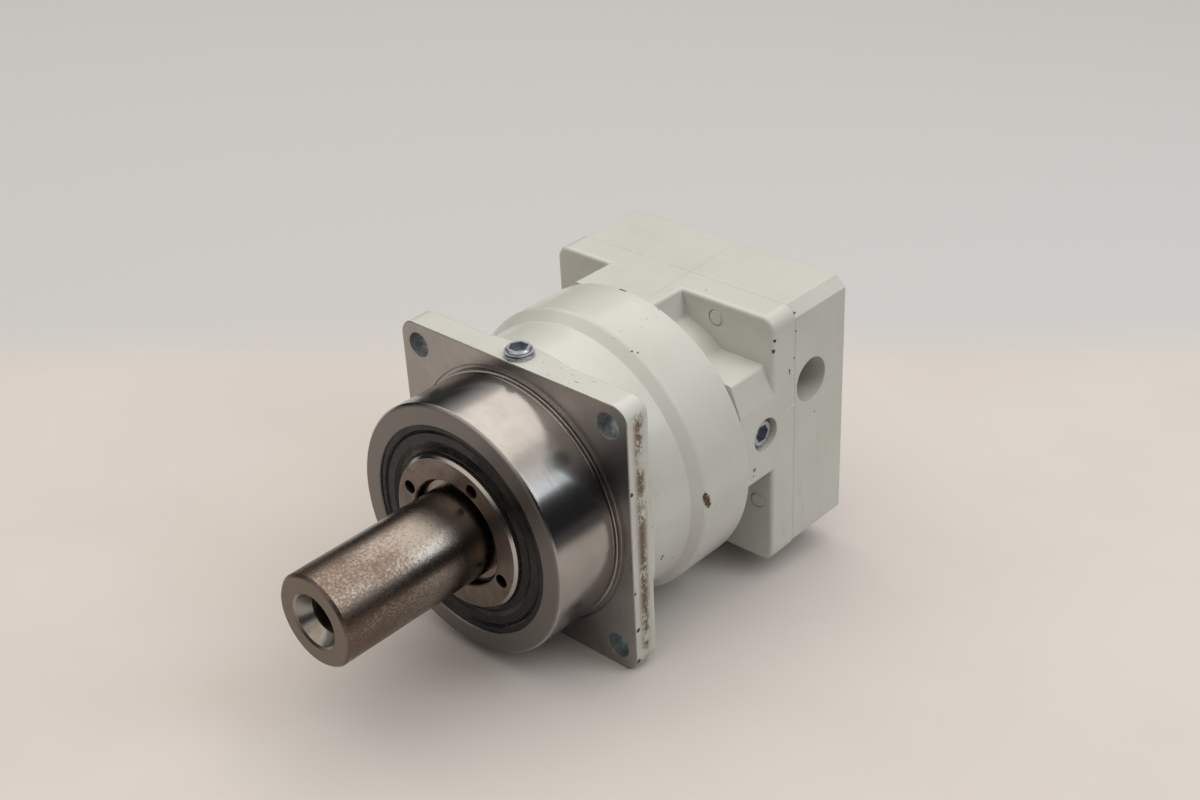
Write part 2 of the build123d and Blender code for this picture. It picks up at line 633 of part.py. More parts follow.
def clamp_hub():
    """Input shaft: bearing seat, seal track and slotted clamp sleeve."""
    seat_r, bearing_y0, bearing_y1 = INPUT_BEARING[0], INPUT_BEARING[2], INPUT_BEARING[3]
    groove_r = seat_r - 0.9
    flange_r = 20.0
    shape = turned(
        (0, HUB_FRONT), (flange_r, HUB_FRONT), (flange_r, bearing_y0), (seat_r, bearing_y0),
        (seat_r, bearing_y1), (groove_r, bearing_y1), (groove_r, bearing_y1 + 1.6),
        (seat_r, bearing_y1 + 1.6), (seat_r, SEAM_Y), (HUB_SLEEVE_R, SEAM_Y + 0.5),
        (HUB_SLEEVE_R, HUB_END - 0.5), (HUB_SLEEVE_R - 0.5, HUB_END), (0, HUB_END))
    shape -= disc(STEM_R, HUB_FRONT, STEM_END)
    shape -= turned((0, STEM_END + 2), (HUB_BORE_R, STEM_END + 2), (HUB_BORE_R, HUB_END - 0.8),
                    (HUB_BORE_R + 0.8, HUB_END), (0, HUB_END))
    slit_length = HUB_END - SEAM_Y - 1.5
    slit = Pos(HUB_SLEEVE_R, HUB_END - slit_length / 2, 0) * Box(12, slit_length, 1.5)
    for angle in around(90, 3):
        shape -= turn(slit, angle)
    return shape


def clamp_collar():
    y0 = CLAMP_Y - COLLAR_WIDTH / 2
    y1 = CLAMP_Y + COLLAR_WIDTH / 2
    shape = turned((HUB_SLEEVE_R, y0), (COLLAR_R - 0.6, y0), (COLLAR_R, y0 + 0.6), (COLLAR_R, y1 - 0.6),
                   (COLLAR_R - 0.6, y1), (HUB_SLEEVE_R, y1))
    shape -= Pos(0, CLAMP_Y, COLLAR_R - 6) * Box(2.0, COLLAR_WIDTH + 1, 20)
    shape -= rod_x(4.1, -15.5, 20, CLAMP_Y, CLAMP_Z)
    shape -= rod_x(7.0, 10, 30, CLAMP_Y, CLAMP_Z)
    return shape


# ---- write every node -----------------------------------------------------
def main():
    os.makedirs("parts", exist_ok=True)
    save("output_housing", output_housing())
    save("ring_gear", ring_gear())
    save("input_housing", input_housing())
    save("adapter_plate", adapter_plate())
    m4 = cap_screw(HOUSING_SCREW_R - 0.05, HOUSING_SCREW_TIP, HOUSING_SCREW_SEAT, 3.5, 4.0, 3.0)
    save("housing_screws", *screw_ring(m4, HOUSING_SCREW_CIRCLE_R, HOUSING_SCREW_ANGLE))
    m6 = cap_screw(2.95, POCKET_FLOOR - 0.2, REAR_Y - PLATE_HEAD_DEPTH, 5.0, 6.0, 5.0)
    save("adapter_screws", *screw_ring(m6, PLATE_SCREW_CIRCLE_R, PLATE_SCREW_ANGLE))
    save("oil_filler_plug", filler_plug())
    save("filler_plug_washer", filler_washer())
    save("side_oil_plug", side_plug())
    save("side_plug_washer", side_washer())
    save("output_seal", lip_seal(*OUTPUT_SEAL, -1))
    save("output_seal_spring", seal_spring(OUTPUT_SEAL[0], *OUTPUT_SEAL[2:], -1))
    save("input_seal", lip_seal(*INPUT_SEAL, 1))
    save("input_seal_spring", seal_spring(INPUT_SEAL[0], *INPUT_SEAL[2:], 1))
    save("housing_o_ring", torus_ring(O_RING_R, O_RING_WIRE_R, O_RING_Y))
    save("bearing_circlip", circlip(27.8, 32.4, 77.05, 79.0, True, 200))
    save("hub_circlip", circlip(16.7, 20.4, 77.05, 78.5, False, 20))
    taper_bearing("front_bearing", FRONT_BEARING, 3.75, 12.5, 17, -1)
    taper_bearing("rear_bearing", REAR_BEARING, 2.7, 9.0, 26, 1)
    ball_bearing("input_bearing", INPUT_BEARING)
    save("output_shaft", output_shaft())
    save("shaft_nut", shaft_nut())
    save("thrust_washers", *thrust_washers())
    for k, angle in enumerate(PLANET_ANGLES, start=1):
        rollers, cage = needle_set(angle)
        save("planet_pin_%d" % k, planet_pin(angle))
        save("planet_gear_%d" % k, planet_gear(angle))
        save("needle_rollers_%d" % k, *rollers)
        save("needle_cage_%d" % k, cage)
    save("sun_gear", sun_gear())
    save("clamp_hub", clamp_hub())
    save("clamp_collar", clamp_collar())
    save("clamp_screw", clamp_screw())


main()
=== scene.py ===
import json
import math
import bpy
from mathutils import Matrix, Vector


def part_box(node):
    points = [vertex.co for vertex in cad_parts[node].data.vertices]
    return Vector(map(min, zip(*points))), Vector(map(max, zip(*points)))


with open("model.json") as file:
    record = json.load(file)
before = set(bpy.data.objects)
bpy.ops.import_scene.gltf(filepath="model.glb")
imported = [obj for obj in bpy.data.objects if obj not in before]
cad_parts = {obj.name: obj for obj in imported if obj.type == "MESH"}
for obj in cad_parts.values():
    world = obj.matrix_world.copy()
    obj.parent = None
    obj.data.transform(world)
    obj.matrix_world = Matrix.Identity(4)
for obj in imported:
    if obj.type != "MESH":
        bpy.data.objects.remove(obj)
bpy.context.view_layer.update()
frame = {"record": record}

# ---- measures of the frame, in millimetres ---------------------------------
MM = 1000.0


def box_mm(node):
    """Lowest and highest corner of a CAD node, in millimetres."""
    low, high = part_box(node)
    return Vector(low) * MM, Vector(high) * MM


housing_low, housing_high = box_mm("output_housing")
block_high = box_mm("input_housing")[1]
shaft_low = box_mm("output_shaft")[0]
nut_low, nut_high = box_mm("shaft_nut")
mounts = {mount["name"]: mount["dims"] for mount in frame["record"]["mounts"]}
PILOT_R = mounts["pilot"]["r_mm"]
HOLE_AT = mounts["flange_bolts"]["pcd_mm"] / 2 / math.sqrt(2)
HOLE_R = mounts["flange_bolts"]["hole_r_mm"]
BODY_R = housing_high.x
BLOCK_HALF = block_high.x
FLANGE_HALF = 50.5
# the relief ring in the flange round the nose ends here, and the paint starts
RELIEF_R = PILOT_R + 1.95
# inside this radius the housing is a bore and has no paint
BORE_R = (38.2, 38.6)
# along the axis, where the full body starts to touch what it lies on
REST_Y = 34.0


# ---- camera and studio -----------------------------------------------------
CAMERA_AIM = Vector((0.0105, 0.0308, 0.0257))
CAMERA_DISTANCE = 0.5683
CAMERA_AZIMUTH = math.radians(43.56)
CAMERA_ELEVATION = math.radians(30.50)
CAMERA_ROLL = math.radians(-2.97)
CAMERA_LENS = 51.27
SENSOR_WIDTH = 36.0
REST_SLOPE = (FLANGE_HALF - BODY_R) / REST_Y


def make_camera():
    """A camera aimed at CAMERA_AIM from the given angles, rolled a little."""
    level = math.cos(CAMERA_ELEVATION)
    back = Vector((math.sin(CAMERA_AZIMUTH) * level, -math.cos(CAMERA_AZIMUTH) * level,
                   math.sin(CAMERA_ELEVATION)))
    right = Vector((0, 0, 1)).cross(back).normalized()
    up = back.cross(right)
    rolled_right = right * math.cos(CAMERA_ROLL) + up * math.sin(CAMERA_ROLL)
    rolled_up = up * math.cos(CAMERA_ROLL) - right * math.sin(CAMERA_ROLL)
    data = bpy.data.cameras.new("camera")
    data.lens = CAMERA_LENS
    data.sensor_width = SENSOR_WIDTH
    data.clip_start = 0.01
    camera = bpy.data.objects.new("camera", data)
    matrix = Matrix((rolled_right, rolled_up, back)).transposed().to_4x4()
    matrix.translation = CAMERA_AIM + back * CAMERA_DISTANCE
    camera.matrix_world = matrix
    bpy.context.collection.objects.link(camera)
    bpy.context.scene.camera = camera


def make_light(name, place, target, size, power, colour):
    """A rectangular soft light at place, turned towards target."""
    data = bpy.data.lights.new(name, "AREA")
    data.shape = "RECTANGLE"
    data.size, data.size_y = size
    data.energy = power
    data.color = colour
    light = bpy.data.objects.new(name, data)
    light.location = place
    aim = Vector(target) - Vector(place)
    light.rotation_mode = "QUATERNION"
    light.rotation_quaternion = aim.to_track_quat("-Z", "Y")
    bpy.context.collection.objects.link(light)


# ---- material nodes --------------------------------------------------------
class Surface:
    """A material with one Principled shader and small chains of nodes that feed it."""

    def __init__(self, name):
        self.material = bpy.data.materials.new(name)
        self.material.use_nodes = True
        self.tree = self.material.node_tree
        self.shader = self.tree.nodes["Principled BSDF"]
        coordinates = self.node("TexCoord")
        self.point = self.vector("SCALE", coordinates.outputs["Object"], scale=MM)
        split = self.node("SeparateXYZ")
        self.feed(split.inputs[0], self.point)
        self.x, self.y, self.z = split.outputs
        self.r = self.span(self.x, self.z)

    def node(self, kind, **settings):
        """A new shader node with its settings."""
        made = self.tree.nodes.new("ShaderNode" + kind)
        for key, value in settings.items():
            setattr(made, key, value)
        return made

    def feed(self, socket, value):
        """Link a socket to another node's output, or set it to a constant."""
        if isinstance(value, bpy.types.NodeSocket):
            self.tree.links.new(value, socket)
        elif hasattr(value, "__len__") and len(value) == 3 and len(socket.default_value) == 4:
            socket.default_value = (*value, 1.0)
        else:
            socket.default_value = value

    def math(self, operation, *values):
        made = self.node("Math", operation=operation)
        for socket, value in zip(made.inputs, values):
            self.feed(socket, value)
        return made.outputs[0]

    def plus(self, a, b):
        return self.math("ADD", a, b)

    def minus(self, a, b):
        return self.math("SUBTRACT", a, b)

    def times(self, a, b):
        return self.math("MULTIPLY", a, b)

    def most(self, a, b):
        return self.math("MAXIMUM", a, b)

    def span(self, a, b):
        """The length of a step of a one way and b at right angles to it."""
        return self.math("SQRT", self.plus(self.times(a, a), self.times(b, b)))

    def vector(self, operation, a, b=None, scale=None):
        made = self.node("VectorMath", operation=operation)
        self.feed(made.inputs[0], a)
        if b is not None:
            self.feed(made.inputs[1], b)
        if scale is not None:
            self.feed(made.inputs["Scale"], scale)
        return made.outputs["Value" if operation in ("DISTANCE", "LENGTH", "DOT_PRODUCT") else 0]

    def colour(self, factor, a, b):
        """Colour a where factor is 0, colour b where it is 1."""
        made = self.node("Mix", data_type="RGBA")
        self.feed(made.inputs[0], factor)
        self.feed(made.inputs[6], a)
        self.feed(made.inputs[7], b)
        return made.outputs[2]

    def number(self, factor, a, b):
        """Number a where factor is 0, number b where it is 1."""
        made = self.node("Mix", data_type="FLOAT")
        self.feed(made.inputs[0], factor)
        self.feed(made.inputs[2], a)
        self.feed(made.inputs[3], b)
        return made.outputs[0]

    def ramp(self, value, start, end, low=0.0, high=1.0):
        """A smooth step from low at start to high at end."""
        made = self.node("MapRange", interpolation_type="SMOOTHSTEP")
        for socket, given in zip(made.inputs, (value, start, end, low, high)):
            self.feed(socket, given)
        return made.outputs[0]

    def noise(self, size, detail=3.0, rough=0.55, stretch=(1, 1, 1), seed=0.0):
        """Noise whose grains are about size millimetres, drawn out by stretch."""
        place = self.vector("MULTIPLY", self.point, tuple(1 / (size * s) for s in stretch))
        place = self.vector("ADD", place, (seed, seed * 1.7, seed * 0.6))
        made = self.node("TexNoise")
        self.feed(made.inputs["Vector"], place)
        made.inputs["Scale"].default_value = 1.0
        made.inputs["Detail"].default_value = detail
        made.inputs["Roughness"].default_value = rough
        return made.outputs[0]

    def lines(self, value, size, seed=0.0):
        """Noise along one measure only, as a lathe or a grinder leaves it."""
        made = self.node("TexNoise", noise_dimensions="1D")
        self.feed(made.inputs["W"], self.plus(self.math("DIVIDE", value, size), seed))
        made.inputs["Scale"].default_value = 1.0
        made.inputs["Detail"].default_value = 2.0
        return made.outputs[0]

    def within(self, value, low, high, soft):
        """1 between low and high, with soft ends."""
        rise = self.ramp(value, low - soft, low + soft)
        fall = self.ramp(value, high - soft, high + soft, 1.0, 0.0)
        return self.times(rise, fall)

    def on_plane(self, value, height):
        """1 on a flat outer face, where value is the face's height."""
        return self.within(value, height - 0.6, height + 0.6, 0.2)

    def spots(self, places, noise, spread):
        """Ragged spots; places hold a centre and a radius in millimetres."""
        total = None
        for centre, radius in places:
            away = self.vector("DISTANCE", self.point, centre)
            ragged = self.plus(away, self.times(self.minus(noise, 0.5), radius * spread * 2))
            spot = self.ramp(ragged, radius * 0.85, radius * 1.1, 1.0, 0.0)
            total = spot if total is None else self.most(total, spot)
        return total

    def rounded(self, radius):
        """The normal as if sharp edges had a small radius, in millimetres."""
        bevel = self.node("Bevel", samples=4)
        bevel.inputs["Radius"].default_value = radius / MM
        return bevel.outputs[0]

    def wear_and_highlight_edges(self, radius, start, end):
        """1 on sharp convex and concave edges, from how far a rounded normal leans; used for worn paint and for
        painted highlights.
        """
        geometry = self.node("NewGeometry")
        lean = self.vector("DOT_PRODUCT", self.rounded(radius), geometry.outputs["Normal"])
        return self.ramp(lean, start, end, 1.0, 0.0)

    def bump(self, height, depth, normal=None):
        """Relief whose full height is depth millimetres, over the given normal."""
        made = self.node("Bump")
        made.inputs["Distance"].default_value = depth / MM
        self.feed(made.inputs["Height"], height)
        if normal is not None:
            self.feed(made.inputs["Normal"], normal)
        return made.outputs[0]

    def finish(self, colour, metal, rough, normal):
        """Feed the shader and hand back the material."""
        for name, value in (("Base Color", colour), ("Metallic", metal), ("Roughness", rough), ("Normal", normal)):
            self.feed(self.shader.inputs[name], value)
        return self.material


# ---- paint -----------------------------------------------------------------
PAINT = (0.545, 0.552, 0.515)
PAINT_DULL = (0.505, 0.510, 0.470)
PAINT_DIRT = (0.40, 0.35, 0.25)
PAINT_EDGE_HIGHLIGHT = (0.80, 0.80, 0.77)
PAINT_CHIP = (0.16, 0.12, 0.07)
PRIMER_BLUE = (0.018, 0.035, 0.115)
CHIP_BLACK = (0.018, 0.016, 0.016)
RUST = (0.13, 0.062, 0.022)
RUST_DARK = (0.035, 0.020, 0.012)


def paint_layers(s):
    """Colour, roughness and relief height of glossy cream paint that has been handled."""
    cloud = s.noise(28.0, 4.0, 0.6)
    grime = s.ramp(s.noise(9.0, 6.0, 0.65, seed=3.1), 0.60, 0.80)
    colour = s.colour(s.ramp(cloud, 0.35, 0.75), PAINT, PAINT_DULL)
    colour = s.colour(s.times(grime, 0.16), colour, PAINT_DIRT)
    specks = s.ramp(s.noise(0.55, 2.0, 0.5, seed=7.7), 0.735, 0.765)
    colour = s.colour(s.times(specks, 0.5), colour, PAINT_DIRT)
    rough = s.plus(s.ramp(cloud, 0.3, 0.7, 0.18, 0.27), s.times(grime, 0.16))
    peel = s.plus(s.times(s.noise(1.9, 2.0, 0.4), 0.45), s.noise(7.0, 2.0, 0.4, seed=2.0))
    chipped = s.ramp(s.noise(2.6, 5.0, 0.7, seed=17.0), 0.60, 0.66)
    chipped = s.times(s.wear_and_highlight_edges(0.9, 0.80, 0.95), chipped)
    colour = s.colour(s.times(chipped, 0.8), colour, PAINT_CHIP)
    return colour, rough, peel


def painted_edge_highlights(s, paint):
    """Painted highlight: lighter colour along sharp edges, for the bright line that gloss paint shows there."""
    return s.colour(s.times(s.wear_and_highlight_edges(0.5, 0.86, 0.99), 0.5), paint, PAINT_EDGE_HIGHLIGHT)


STEEL = (0.40, 0.38, 0.365)
STEEL_DULL = (0.34, 0.32, 0.305)
NOSE_END = (0.22, 0.205, 0.195)
PIT = (0.12, 0.08, 0.06)
HOLE_DARK = (0.20, 0.225, 0.235)
HOLE_LIGHT = (0.36, 0.40, 0.41)
# chips and rust spots: centre and radius, in millimetres
HOUSING_BLACK = [
    ((50.0, 0.6, 50.0), 1.2), ((50.5, 1.0, -46.0), 1.1), ((50.5, 0.7, 20.0), 0.8),
    ((50.5, 0.4, -18.0), 0.6), ((49.9, 9.6, 3.1), 0.6), ((50.5, 1.2, -33.0), 0.8),
]
HOUSING_BLUE = [
    ((-0.6, 56.3, 53.0), 1.0), ((0.8, 56.4, 53.0), 1.0), ((5.4, 56.5, 52.6), 0.5), ((47.0, 17.7, -15.4), 0.5),
    ((47.3, 17.9, -14.2), 0.5), ((45.8, 24.5, -19.4), 0.4), ((47.4, 36.0, -24.2), 0.5),
]
HOUSING_RUST = [
    ((53.2, 33.4, 3.6), 1.2), ((53.2, 34.0, 2.2), 1.3), ((53.2, 34.4, 0.8), 1.3), ((53.1, 35.0, -0.8), 1.0),
    ((23.6, 33.2, 47.7), 0.45), ((25.0, 34.4, 47.0), 0.3), ((24.6, 32.2, 46.6), 0.25),
    ((26.3, 33.0, 46.4), 0.3),
]


def housing_marks(s, paint):
    """The housing's paint with its rust band, streaks and chips, and a mask of them."""
    fine = s.noise(0.8, 4.0, 0.7, seed=5.0)
    band = s.times(s.on_plane(s.x, FLANGE_HALF), s.within(s.y, 3.0, 6.8, 1.8))
    dirty = s.ramp(s.noise(3.5, 4.0, 0.7, seed=21.0), 0.40, 0.62, 0.1, 0.6)
    paint = s.colour(s.times(band, dirty), paint, PAINT_DIRT)
    grain = s.plus(s.noise(1.1, 5.0, 0.75, (1.0, 1.0, 1.3), seed=1.0),
                   s.times(s.noise(9.0, 2.0, 0.5, seed=8.0), 0.9))
    band = s.times(band, s.ramp(grain, 0.86, 0.97))
    paint = s.colour(s.times(band, 0.9), paint, s.colour(s.ramp(fine, 0.48, 0.66), RUST, RUST_DARK))
    streak = s.ramp(s.noise(1.6, 4.0, 0.6, (2.2, 0.7, 1.0), seed=4.0), 0.63, 0.69)
    streak = s.times(s.times(s.on_plane(s.z, FLANGE_HALF), streak), s.within(s.x, 10.0, 36.0, 6.0))
    paint = s.colour(s.times(streak, 0.75), paint, RUST)
    black = s.spots(HOUSING_BLACK, fine, 0.9)
    blue = s.spots(HOUSING_BLUE, fine, 0.8)
    rust = s.spots(HOUSING_RUST, fine, 1.3)
    paint = s.colour(blue, paint, PRIMER_BLUE)
    paint = s.colour(rust, paint, s.colour(s.ramp(fine, 0.35, 0.6), RUST_DARK, RUST))
    paint = s.colour(black, paint, CHIP_BLACK)
    return paint, s.most(s.most(black, blue), s.most(rust, band))


def housing_steel(s):
    """Colour, roughness and relief height of the turned nose and flange face, and the pits in them."""
    on_face = s.ramp(s.y, -1.0, -0.2)
    nose_end = s.ramp(s.y, housing_low.y + 0.25, housing_low.y + 0.6, 1.0, 0.0)
    steel = s.colour(s.ramp(s.noise(14.0, 4.0, 0.6, seed=9.0), 0.3, 0.7), STEEL, STEEL_DULL)
    pits = s.ramp(s.noise(0.9, 3.0, 0.6, seed=12.0), 0.70, 0.75)
    steel = s.colour(s.times(pits, 0.6), steel, PIT)
    steel = s.colour(nose_end, steel, NOSE_END)
    turning = s.plus(s.lines(s.y, 0.45), s.times(s.lines(s.y, 2.2, 4.0), 0.8))
    facing = s.times(s.lines(s.r, 0.7, 2.0), 1.6)
    height = s.times(s.number(s.most(on_face, nose_end), turning, facing), 0.06)
    haze = s.ramp(s.noise(30.0, 3.0, 0.6, seed=6.0), 0.40, 0.72)
    rough = s.number(nose_end, s.number(on_face, 0.17, 0.27), 0.40)
    return steel, s.plus(rough, s.times(haze, 0.05)), height, pits


def housing_material():
    """Bare turned steel on the nose and the flange's front, gloss paint behind it."""
    s = Surface("housing_steel_and_paint")
    paint, paint_rough, peel = paint_layers(s)
    paint, marks = housing_marks(s, paint)
    # painted highlight along the sharp edges of the paint
    paint = painted_edge_highlights(s, paint)
    steel, steel_rough, steel_height, pits = housing_steel(s)
    # walls of the flange holes
    from_hole = s.span(s.minus(s.math("ABSOLUTE", s.x), HOLE_AT), s.minus(s.math("ABSOLUTE", s.z), HOLE_AT))
    in_hole = s.times(s.ramp(from_hole, HOLE_R + 0.05, HOLE_R + 0.2, 1.0, 0.0), s.ramp(s.y, 0.02, 0.1))
    hole_grain = s.noise(0.9, 4.0, 0.7, seed=14.0)
    # the paint starts just behind the front face, with a slightly uneven edge
    edge = s.plus(0.22, s.times(s.minus(s.noise(3.0), 0.5), 0.25))
    painted = s.times(s.math("GREATER_THAN", s.y, edge), s.ramp(s.r, *BORE_R))
    painted = s.times(painted, s.math("GREATER_THAN", s.r, RELIEF_R))
    bare = s.minus(1.0, painted)
    colour = s.colour(painted, steel, paint)
    colour = s.colour(in_hole, colour, s.colour(s.ramp(hole_grain, 0.35, 0.65), HOLE_DARK, HOLE_LIGHT))
    metal = s.number(in_hole, bare, 0.6)
    rough = s.number(painted, steel_rough, s.number(marks, paint_rough, 0.7))
    rough = s.number(in_hole, rough, 0.5)
    height = s.number(painted, steel_height, s.times(peel, 0.10))
    height = s.minus(height, s.times(s.times(marks, painted), 0.5))
    height = s.minus(height, s.times(s.times(pits, 0.15), bare))
    height = s.number(in_hole, height, hole_grain)
    return s.finish(colour, metal, rough, s.bump(height, 0.12, s.rounded(0.5)))


BLOCK_BLACK = [((48.9, 75.8, 41.2), 0.6), ((49.0, 75.2, 39.4), 0.35), ((49.0, 86.5, 30.0), 0.4)]
BLOCK_BLUE = [((49.0, 75.1, 37.4), 0.9), ((49.0, 84.0, 26.3), 0.5), ((49.0, 84.0, 25.2), 0.4)]
BLOCK_BROWN = [
    ((49.0, 64.8, -4.0), 0.9), ((17.0, 79.2, 49.0), 0.35), ((48.0, 77.2, 48.9), 0.5),
    ((49.0, 64.2, -6.2), 0.4), ((48.2, 87.4, 48.6), 0.45),
]
PLATE_BLACK = [((47.5, 88.0, 46.0), 0.6), ((49.0, 99.0, 3.0), 0.35)]
PLATE_BLUE = [((49.0, 87.4, 40.0), 0.4)]
SMUDGE = (0.47, 0.42, 0.29)
PENCIL = (0.2, 0.2, 0.2)


def block_material(name, black, blue, seed):
    """Gloss paint of the square motor end, with a pencil line along its top."""
    s = Surface(name)
    paint, rough, peel = paint_layers(s)
    fine = s.noise(0.7, 4.0, 0.7, seed=seed)
    smudge = s.ramp(s.noise(6.0, 5.0, 0.65, (1.0, 0.6, 3.5), seed=seed + 2.0), 0.54, 0.70)
    smudge = s.times(s.times(smudge, s.on_plane(s.x, BLOCK_HALF)), s.ramp(s.z, 10.0, -30.0, 0.08, 0.42))
    paint = s.colour(smudge, paint, SMUDGE)
    across = s.plus(s.x, s.times(s.y, 0.05))
    pencil = s.times(s.within(across, 7.88, 8.12, 0.072), s.within(s.y, 60.0, 110.0, 1.0))
    paint = s.colour(s.times(s.times(pencil, s.on_plane(s.z, BLOCK_HALF)), 0.35), paint, PENCIL)
    # painted highlight along the sharp edges of the paint
    paint = painted_edge_highlights(s, paint)
    paint = s.colour(s.times(s.spots(BLOCK_BROWN, fine, 1.0), 0.75), paint, RUST)
    chips_black = s.spots(black, fine, 0.9)
    chips_blue = s.spots(blue, fine, 0.9)
    paint = s.colour(chips_blue, paint, PRIMER_BLUE)
    paint = s.colour(chips_black, paint, CHIP_BLACK)
    marks = s.most(chips_black, chips_blue)
    height = s.minus(s.times(peel, 0.12), s.times(marks, 0.5))
    return s.finish(paint, 0.0, s.number(marks, rough, 0.6), s.bump(height, 0.12, s.rounded(0.6)))


# ---- metals and rubber -----------------------------------------------------
def metal_material(name, light, dark, rough, along, depth=0.03, stain=None):
    """Machined metal; along is y or r, the measure that its tool marks follow."""
    s = Surface(name)
    marks = s.lines(getattr(s, along), 0.35, 1.0)
    cloud = s.noise(6.0, 5.0, 0.65, seed=3.0)
    colour = s.colour(s.ramp(cloud, 0.35, 0.7), light, dark)
    if stain is not None:
        colour = s.colour(s.ramp(s.noise(2.2, 5.0, 0.7, seed=11.0), 0.62, 0.74), colour, stain)
    grain = s.noise(0.5, 2.0, 0.5, seed=1.5)
    roughness = s.plus(s.ramp(cloud, 0.3, 0.75, rough, rough + 0.12), s.times(grain, 0.05))
    height = s.plus(marks, s.times(grain, 0.4))
    return s.finish(colour, 1.0, roughness, s.bump(height, depth))


def shaft_material():
    """Ground shaft with brown, grainy staining that is heaviest towards the free end."""
    s = Surface("stained_shaft_steel")
    fine = s.noise(0.4, 3.0, 0.6)
    speckle = s.noise(0.75, 5.0, 0.75, (1.0, 1.5, 1.0), seed=2.0)
    patch = s.noise(12.0, 3.0, 0.6, (1.0, 1.8, 1.0), seed=5.0)
    end = s.ramp(s.y, -40.0, -82.0)
    cover = s.plus(s.plus(s.times(speckle, 0.9), s.times(patch, 0.3)),
                   s.times(end, 0.22))
    stain = s.ramp(cover, 0.57, 0.84)
    steel = s.colour(s.ramp(patch, 0.35, 0.7), (0.30, 0.265, 0.235), (0.25, 0.21, 0.18))
    brown = s.colour(s.ramp(fine, 0.35, 0.65), (0.085, 0.052, 0.037), (0.17, 0.112, 0.08))
    side = s.colour(s.times(stain, 0.8), steel, brown)
    flat = s.ramp(s.y, shaft_low.y + 0.08, shaft_low.y + 0.5, 1.0, 0.0)
    inside = s.ramp(s.y, shaft_low.y + 0.02, shaft_low.y + 0.2)
    inside = s.times(s.ramp(s.r, 9.8, 10.1, 1.0, 0.0), inside)
    face = s.colour(s.ramp(speckle, 0.58, 0.7), (0.20, 0.165, 0.135), (0.115, 0.085, 0.065))
    colour = s.colour(flat, side, face)
    bore = s.colour(s.ramp(patch, 0.4, 0.65), (0.34, 0.33, 0.31), (0.18, 0.155, 0.13))
    colour = s.colour(inside, colour, bore)
    rough = s.plus(s.ramp(cover, 0.6, 0.95, 0.17, 0.38), s.times(fine, 0.08))
    rough = s.number(flat, rough, 0.42)
    rough = s.number(inside, rough, 0.28)
    grind = s.number(flat, s.lines(s.y, 0.3), s.lines(s.r, 0.4))
    height = s.plus(s.times(grind, 0.35), speckle)
    return s.finish(colour, 1.0, rough, s.bump(height, 0.035))


def nut_material():
    """Ground ring nut: fine facing marks, a polished outer chamfer, and painted shade deep in the pin holes and
    bore.
    """
    s = Surface("nut_steel")
    cloud = s.noise(5.0, 5.0, 0.65, seed=4.0)
    colour = s.colour(s.ramp(cloud, 0.35, 0.7), (0.215, 0.18, 0.155), (0.165, 0.135, 0.115))
    specks = s.ramp(s.noise(0.9, 3.0, 0.6, seed=2.0), 0.66, 0.72)
    colour = s.colour(s.times(specks, 0.7), colour, (0.10, 0.07, 0.05))
    polished = s.within(s.r, nut_high.x - 0.95, nut_high.x, 0.12)
    colour = s.colour(polished, colour, (0.46, 0.44, 0.42))
    # painted shade: more than 1.6 mm in, the pin holes and the bore are coloured near black
    deep_shade = s.ramp(s.y, nut_low.y + 0.6, nut_low.y + 1.6)
    deep_shade = s.times(deep_shade, s.ramp(s.r, 25.2, 25.6, 1.0, 0.0))
    colour = s.colour(deep_shade, colour, (0.022, 0.018, 0.016))
    rough = s.number(polished, s.ramp(cloud, 0.3, 0.7, 0.34, 0.46), 0.16)
    height = s.plus(s.lines(s.r, 0.45), s.times(s.noise(0.5), 0.5))
    return s.finish(colour, 1.0, rough, s.bump(height, 0.03))


def rubber_material():
    """Oily black rubber with fine moulded rings."""
    s = Surface("oily_rubber")
    oil = s.ramp(s.noise(4.0, 4.0, 0.6, seed=3.0), 0.42, 0.60)
    dust = s.ramp(s.noise(1.0, 5.0, 0.7, seed=9.0), 0.64, 0.76)
    colour = s.colour(s.times(dust, 0.16), (0.0095, 0.009, 0.0085), (0.085, 0.062, 0.042))
    rough = s.number(oil, 0.40, 0.20)
    ring_step = 1.25
    rings = s.math("SINE", s.times(s.r, 2 * math.pi / ring_step))
    height = s.plus(s.times(rings, 0.12), s.times(s.noise(2.4, 2.0, 0.5), 0.5))
    s.shader.inputs["Specular IOR Level"].default_value = 0.32
    return s.finish(colour, 0.0, rough, s.bump(height, 0.08))


def screw_end_material():
    """Painted screw ends, with a dark line where each meets the pocket floor."""
    s = Surface("painted_screw_end")
    paint, rough, peel = paint_layers(s)
    paint = s.colour(0.35, paint, (0.52, 0.52, 0.48))
    edge = s.wear_and_highlight_edges(0.35, 0.80, 0.99)
    paint = s.colour(edge, paint, (0.06, 0.06, 0.056))
    steel = s.ramp(s.y, block_high.y - 5, block_high.y)
    paint = s.colour(steel, paint, (0.11, 0.11, 0.115))
    return s.finish(paint, s.times(steel, 0.9), rough, s.bump(peel, 0.02))


def plug_material(name, light, dark, rough):
    """Zinc plated steel with a faint blue cast and dull spots."""
    s = Surface(name)
    cloud = s.noise(1.8, 5.0, 0.7, seed=2.0)
    spots = s.ramp(s.noise(0.8, 4.0, 0.65, seed=6.0), 0.58, 0.70)
    colour = s.colour(s.ramp(cloud, 0.35, 0.65), light, dark)
    colour = s.colour(s.times(spots, 0.6), colour, (0.20, 0.21, 0.21))
    edge = s.wear_and_highlight_edges(0.3, 0.80, 0.97)
    colour = s.colour(s.times(edge, 0.45), colour, (0.62, 0.65, 0.69))
    roughness = s.plus(s.times(spots, 0.2), rough)
    return s.finish(colour, 1.0, roughness, s.bump(s.noise(0.7, 4.0, 0.6), 0.04))


